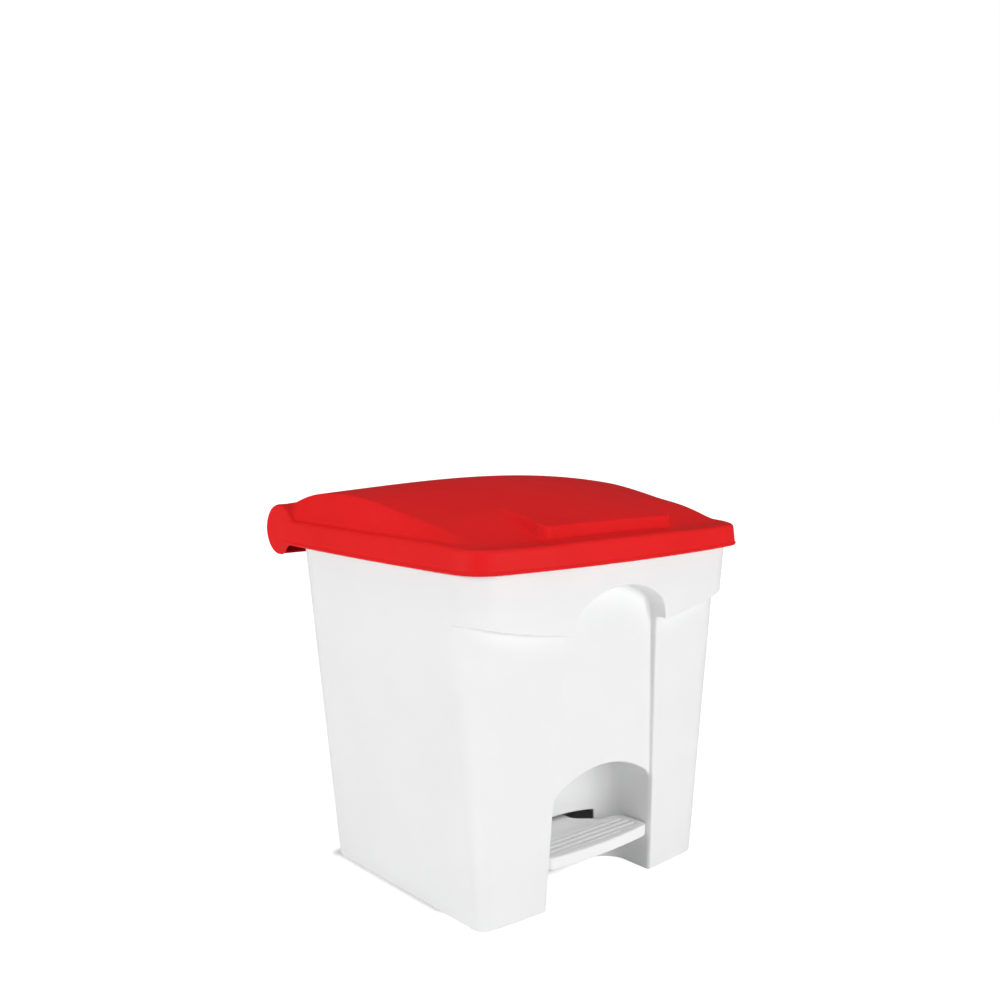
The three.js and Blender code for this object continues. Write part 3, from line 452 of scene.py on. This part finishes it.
def surface(distance, low, high, pitch):
    """Points and quads of the zero surface of a shape that is symmetric in X."""
    xs = np.arange(-0.5 * pitch, high[0] + pitch, pitch)
    ys = np.arange(low[1], high[1] + pitch, pitch)
    zs = np.arange(low[2], high[2] + pitch, pitch)
    values = np.empty((len(xs), len(ys), len(zs)), np.float32)
    for start in range(0, len(zs), SLAB):
        part = zs[start:start + SLAB]
        values[:, :, start:start + SLAB] = distance(
            xs[:, None, None], ys[None, :, None], part[None, None, :])
    inside = values < 0
    shape = tuple(n - 1 for n in inside.shape)
    views = [inside[i:i + shape[0], j:j + shape[1], k:k + shape[2]] for i, j, k in CORNERS]
    touched = np.logical_or.reduce(views) & ~np.logical_and.reduce(views)
    cells = np.argwhere(touched)
    index = np.full(shape, -1, np.int64)
    index[tuple(cells.T)] = np.arange(len(cells))
    corner_values = np.stack([values[tuple((cells + corner).T)] for corner in CORNERS], axis=1)
    total = np.zeros((len(cells), 3))
    count = np.zeros(len(cells))
    for a, b in EDGES:
        va, vb = corner_values[:, a], corner_values[:, b]
        crossing = (va < 0) != (vb < 0)
        share = np.where(crossing, va / np.where(crossing, va - vb, 1.0), 0.0)[:, None]
        place = np.array(CORNERS[a]) * (1 - share) + np.array(CORNERS[b]) * share
        total += place * crossing[:, None]
        count += crossing
    points = np.array([xs[0], ys[0], zs[0]]) + (cells + total / count[:, None]) * pitch
    seam = cells[:, 0] == 0
    for _ in range(3):
        slope = gradient(distance, points)
        size = np.maximum((slope ** 2).sum(axis=1), 0.05)
        move = -distance(*points.T)[:, None] * slope / size[:, None]
        points += np.clip(move, -0.6 * pitch, 0.6 * pitch)
        points[seam, 0] = 0.0
    quads = []
    for axis in range(3):
        other = [(axis + 1) % 3, (axis + 2) % 3]
        head = [slice(None)] * 3
        tail = [slice(None)] * 3
        head[axis], tail[axis] = slice(1, None), slice(None, -1)
        begins, ends = inside[tuple(tail)], inside[tuple(head)]
        found = np.argwhere(begins != ends)
        keep = (found[:, other[0]] > 0) & (found[:, other[1]] > 0)
        found = found[keep]
        outward = begins[tuple(found.T)]
        ring = []
        for u, v in ((-1, -1), (0, -1), (0, 0), (-1, 0)):
            cell = found.copy()
            cell[:, other[0]] += u
            cell[:, other[1]] += v
            ring.append(index[tuple(cell.T)])
        ring = np.stack(ring, axis=1)
        ring[~outward] = ring[~outward][:, ::-1]
        quads.append(ring)
    quads = np.concatenate(quads)
    mirror = np.arange(len(points))
    free = np.flatnonzero(~seam)
    mirror[free] = len(points) + np.arange(len(free))
    points = np.concatenate([points, points[free] * (-1, 1, 1)])
    return points, np.concatenate([quads, mirror[quads[:, ::-1]]])


def moulded(name, distance, low, high, pitch, keep):
    """A smooth mesh object of a distance: surface nets, thinned to a share of its triangles."""
    points, quads = surface(distance, low, high, pitch)
    mesh = bpy.data.meshes.new(name)
    mesh.vertices.add(len(points))
    mesh.vertices.foreach_set("co", (points * MM).astype(np.float32).ravel())
    mesh.loops.add(quads.size)
    mesh.loops.foreach_set("vertex_index", quads.astype(np.int32).ravel())
    mesh.polygons.add(len(quads))
    mesh.polygons.foreach_set("loop_start", np.arange(0, quads.size, 4, dtype=np.int32))
    mesh.update(calc_edges=True)
    mesh.validate()
    piece = bpy.data.objects.new(name, mesh)
    bpy.context.scene.collection.objects.link(piece)
    thin = piece.modifiers.new("thin", "DECIMATE")
    thin.ratio = keep
    graph = bpy.context.evaluated_depsgraph_get()
    final = bpy.data.meshes.new_from_object(piece.evaluated_get(graph))
    piece.modifiers.clear()
    piece.data = final
    bpy.data.meshes.remove(mesh)
    final.name = name
    places = np.empty(len(final.vertices) * 3)
    final.vertices.foreach_get("co", places)
    slope = gradient(distance, places.reshape(-1, 3) / MM)
    slope /= np.maximum(np.linalg.norm(slope, axis=1), 1e-6)[:, None]
    final.polygons.foreach_set("use_smooth", np.ones(len(final.polygons), bool))
    final.normals_split_custom_set_from_vertices(slope.tolist())
    return piece


# ---------------------------------------------------------------- materials

def material(name):
    made = bpy.data.materials.new(name)
    made.use_nodes = True
    return made, made.node_tree.nodes, made.node_tree.links, made.node_tree.nodes["Principled BSDF"]


def noise(nodes, links, scale, detail=3.0, rough=0.5, stretch=None):
    coordinates = nodes.new("ShaderNodeTexCoord")
    texture = nodes.new("ShaderNodeTexNoise")
    texture.inputs["Scale"].default_value = scale
    texture.inputs["Detail"].default_value = detail
    texture.inputs["Roughness"].default_value = rough
    source = coordinates.outputs["Object"]
    if stretch:
        mapping = nodes.new("ShaderNodeMapping")
        mapping.inputs["Scale"].default_value = stretch
        links.new(source, mapping.inputs["Vector"])
        source = mapping.outputs["Vector"]
    links.new(source, texture.inputs["Vector"])
    return texture.outputs["Fac"]


def ramp(nodes, links, source, stops):
    colours = nodes.new("ShaderNodeValToRGB")
    elements = colours.color_ramp.elements
    for element, (position, colour) in zip(elements, stops):
        element.position = position
        element.color = (*colour, 1.0)
    links.new(source, colours.inputs["Fac"])
    return colours.outputs["Color"]


def spread(nodes, links, source, low, high):
    """Maps a noise's usual range to low..high."""
    node = nodes.new("ShaderNodeMapRange")
    node.inputs["From Min"].default_value = 0.3
    node.inputs["From Max"].default_value = 0.7
    node.inputs["To Min"].default_value = low
    node.inputs["To Max"].default_value = high
    links.new(source, node.inputs["Value"])
    return node.outputs["Result"]


def bump(nodes, links, shader, layers):
    """Bump from (height, strength, distance in metres) layers, the coarsest first."""
    before = None
    for height, strength, distance in layers:
        node = nodes.new("ShaderNodeBump")
        node.inputs["Strength"].default_value = strength
        node.inputs["Distance"].default_value = distance
        links.new(height, node.inputs["Height"])
        if before:
            links.new(before, node.inputs["Normal"])
        before = node.outputs["Normal"]
    links.new(before, shader.inputs["Normal"])


def plastic(name, dark, light, roughness, grain, specular=0.5):
    """Moulded plastic: faint flow mottling, a spark-eroded grain and a soft unevenness."""
    made, nodes, links, shader = material(name)
    links.new(ramp(nodes, links, noise(nodes, links, 9.0, 4.0), ((0.3, dark), (0.7, light))),
              shader.inputs["Base Color"])
    links.new(spread(nodes, links, noise(nodes, links, 26.0, 3.0), *roughness),
              shader.inputs["Roughness"])
    shader.inputs["Specular IOR Level"].default_value = specular
    bump(nodes, links, shader, (
        (noise(nodes, links, 22.0, 1.0), 0.25, 0.0006),
        (noise(nodes, links, grain, 2.0, 0.6), 0.22, 0.00007)))
    return made


def zinc(name):
    """Plated steel: bright, drawn lines along the piece, with a duller bloom."""
    made, nodes, links, shader = material(name)
    shader.inputs["Metallic"].default_value = 1.0
    tint = ramp(nodes, links, noise(nodes, links, 55.0, 4.0),
                ((0.35, (0.50, 0.51, 0.53)), (0.65, (0.68, 0.68, 0.69))))
    links.new(tint, shader.inputs["Base Color"])
    links.new(spread(nodes, links, noise(nodes, links, 120.0, 4.0), 0.26, 0.44),
              shader.inputs["Roughness"])
    lines = noise(nodes, links, 400.0, 3.0, 0.6, (1.0, 0.2, 0.2))
    bump(nodes, links, shader, ((lines, 0.25, 0.00005),))
    return made


def rubber(name):
    """Black rubber: dull, with a fine grain."""
    made, nodes, links, shader = material(name)
    tint = ramp(nodes, links, noise(nodes, links, 60.0, 4.0),
                ((0.35, (0.022, 0.022, 0.023)), (0.65, (0.040, 0.040, 0.042))))
    links.new(tint, shader.inputs["Base Color"])
    links.new(spread(nodes, links, noise(nodes, links, 200.0), 0.68, 0.86), shader.inputs["Roughness"])
    bump(nodes, links, shader, ((noise(nodes, links, 1600.0), 0.3, 0.00008),))
    return made


def paint(piece, look):
    piece.data.materials.clear()
    piece.data.materials.append(look)


WHITE = plastic("white_polypropylene", (0.865, 0.868, 0.872), (0.895, 0.896, 0.898),
                (0.36, 0.48), 1500.0)
RED = plastic("red_polypropylene", (0.76, 0.013, 0.014), (0.80, 0.015, 0.016),
              (0.48, 0.58), 1500.0, 0.08)
PEDAL_LOOK = plastic("grey_white_polypropylene", (0.92, 0.92, 0.918), (0.95, 0.95, 0.948),
                     (0.40, 0.54), 1800.0)
NYLON = plastic("grey_nylon", (0.42, 0.44, 0.46), (0.50, 0.52, 0.54), (0.42, 0.56), 2200.0)
ZINC = zinc("zinc_plated_steel")
RUBBER = rubber("black_rubber")
SLOT_LOOKS = {"white_plastic": WHITE, "red_plastic": RED, "pedal_plastic": PEDAL_LOOK,
              "grey_nylon": NYLON, "plated_steel": ZINC, "rubber": RUBBER}


# ---------------------------------------------------------------- pieces

def stand_in(piece, node, body, look):
    """Paints a piece and puts it in the place of a CAD node."""
    paint(piece, look)
    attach(piece, body)
    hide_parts(node)


def reach_of(node, margin=3.0):
    """A node's box in millimetres, with a margin round it."""
    low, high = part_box(node)
    return [value / MM - margin for value in low], [value / MM + margin for value in high]


tub_piece = moulded("tub_shell", tub, *reach_of("bin_body"), 1.6, 0.30)
stand_in(tub_piece, "bin_body", "tub", WHITE)

lid_piece = moulded("lid_shell", lid, *reach_of("lid"), 1.6, 0.30)
stand_in(lid_piece, "lid", "lid", RED)

pedal_piece = moulded("pedal_pad", pedal, *reach_of("pedal"), 0.9, 0.5)
stand_in(pedal_piece, "pedal", "pedal_lever", PEDAL_LOOK)

slots = {entry["node"]: entry["material_slot"] for entry in frame["record"]["subparts"]}
for name, node in frame["nodes"].items():
    paint(node, SLOT_LOOKS[slots[name]])


# ---------------------------------------------------------------- floor, light, camera

def vector_step(nodes, links, source, operation, value=(0.0, 0.0, 0.0)):
    node = nodes.new("ShaderNodeVectorMath")
    node.operation = operation
    node.inputs[1].default_value = value
    links.new(source, node.inputs[0])
    return node


def glow(nodes, links):
    """Painted light: the floor glows. The glow is none under the bin's footprint, which paints shade on the floor
    there and keeps the bin's underside dark. There is more glow further off.
    """
    source = nodes.new("ShaderNodeTexCoord").outputs["Object"]
    for operation, value in (("SUBTRACT", FOOTPRINT_MIDDLE), ("ABSOLUTE", (0.0, 0.0, 0.0)),
                             ("SUBTRACT", FOOTPRINT_HALF), ("MAXIMUM", (0.0, 0.0, 0.0))):
        source = vector_step(nodes, links, source, operation, value).outputs["Vector"]
    distance = vector_step(nodes, links, source, "LENGTH").outputs["Value"]
    total = None
    for start, end, amount in GLOW:
        fade = nodes.new("ShaderNodeMapRange")
        fade.interpolation_type = "SMOOTHSTEP"
        fade.inputs["From Min"].default_value = start
        fade.inputs["From Max"].default_value = end
        fade.inputs["To Max"].default_value = amount
        links.new(distance, fade.inputs["Value"])
        if total:
            both = nodes.new("ShaderNodeMath")
            links.new(total, both.inputs[0])
            links.new(fade.outputs["Result"], both.inputs[1])
            total = both.outputs["Value"]
        else:
            total = fade.outputs["Result"]
    # Camera rays see the full painted glow; other rays get only the BOUNCE share of it.
    seen = nodes.new("ShaderNodeLightPath")
    share = nodes.new("ShaderNodeMapRange")
    share.inputs["To Min"].default_value = BOUNCE
    links.new(seen.outputs["Is Camera Ray"], share.inputs["Value"])
    shared = nodes.new("ShaderNodeMath")
    shared.operation = "MULTIPLY"
    links.new(total, shared.inputs[0])
    links.new(share.outputs["Result"], shared.inputs[1])
    return shared.outputs["Value"]


def floor(rings=24, spokes=96, radius=40.0):
    """A wide pale disc, with its rings closer together towards the middle."""
    points = [(0.0, 0.0, 0.0)]
    for ring in range(1, rings + 1):
        r = radius * (ring / rings) ** 2
        turns = [2 * math.pi * s / spokes for s in range(spokes)]
        points += [(r * math.cos(turn), r * math.sin(turn), 0.0) for turn in turns]
    faces = [(0, 1 + s, 1 + (s + 1) % spokes) for s in range(spokes)]
    for ring in range(rings - 1):
        inner = 1 + ring * spokes
        outer = inner + spokes
        faces += [(inner + s, outer + s, outer + (s + 1) % spokes, inner + (s + 1) % spokes)
                  for s in range(spokes)]
    mesh = bpy.data.meshes.new("floor")
    mesh.from_pydata(points, [], faces)
    piece = bpy.data.objects.new("floor", mesh)
    bpy.context.scene.collection.objects.link(piece)
    made, nodes, links, shader = material("pale_floor_painted_glow")
    tint = ramp(nodes, links, noise(nodes, links, 1.5),
                ((0.3, (0.90, 0.90, 0.90)), (0.7, (0.93, 0.93, 0.93))))
    links.new(tint, shader.inputs["Base Color"])
    shader.inputs["Roughness"].default_value = 0.9
    shader.inputs["Specular IOR Level"].default_value = 0.1
    shader.inputs["Emission Color"].default_value = (1.0, 1.0, 1.0, 1.0)
    # The floor's emission is painted light, with painted shade under and round the bin.
    links.new(glow(nodes, links), shader.inputs["Emission Strength"])
    paint(piece, made)


def area_light(name, place, target, size, watts):
    """A round soft light that faces its target."""
    data = bpy.data.lights.new(name, "AREA")
    data.shape = "DISK"
    data.size = size
    data.energy = watts
    lamp = bpy.data.objects.new(name, data)
    lamp.location = place
    lamp.rotation_euler = (Vector(target) - Vector(place)).to_track_quat("-Z", "Y").to_euler()
    bpy.context.scene.collection.objects.link(lamp)


# The bin's footprint, where the floor's painted glow is none: painted shade on the floor under and round the bin.
FOOTPRINT_MIDDLE = (0.0, 0.0175, 0.0)
FOOTPRINT_HALF = (0.155, 0.0925, 0.01)
# Each row: distance from the footprint where the glow starts and is full, and its strength.
GLOW = ((0.0, 0.02, 0.72), (0.1, 2.2, 0.35))
BOUNCE = 0.12                       # share of the glow that lights the bin
SKY_LIGHT = 0.13                    # the white surroundings' share that lights the bin
floor()

world = bpy.data.worlds.new("studio")
bpy.context.scene.world = world
world.use_nodes = True
sky = world.node_tree.nodes["Background"]
sky.inputs["Color"].default_value = (1.0, 1.0, 1.0, 1.0)
seen = world.node_tree.nodes.new("ShaderNodeLightPath")
strength = world.node_tree.nodes.new("ShaderNodeMapRange")
strength.inputs["To Min"].default_value = SKY_LIGHT
strength.inputs["To Max"].default_value = 1.0
world.node_tree.links.new(seen.outputs["Is Camera Ray"], strength.inputs["Value"])
world.node_tree.links.new(strength.outputs["Result"], sky.inputs["Strength"])

MIDDLE = (0.0, 0.0, 0.22)
area_light("left", (-2.2, 0.35, 0.60), MIDDLE, 1.4, 24.6)
area_light("front", (0.35, -2.3, 0.55), MIDDLE, 1.4, 29.6)
area_light("top", (-0.3, -0.3, 2.3), MIDDLE, 1.8, 18.2)

CAMERA_PLACE = (-0.80015, -0.92130, 0.50634)
CAMERA_AIM = (0.64877, 0.75656, -0.08198)
FOCAL_LENGTH = 38.75
SENSOR_WIDTH = 36.0
scene = bpy.context.scene
lens = bpy.data.cameras.new("camera")
lens.lens = FOCAL_LENGTH
lens.sensor_width = SENSOR_WIDTH
lens.clip_start, lens.clip_end = 0.05, 100.0
camera = bpy.data.objects.new("camera", lens)
camera.location = CAMERA_PLACE
camera.rotation_euler = Vector(CAMERA_AIM).to_track_quat("-Z", "Y").to_euler()
scene.collection.objects.link(camera)
scene.camera = camera
scene.view_settings.view_transform = "Standard"
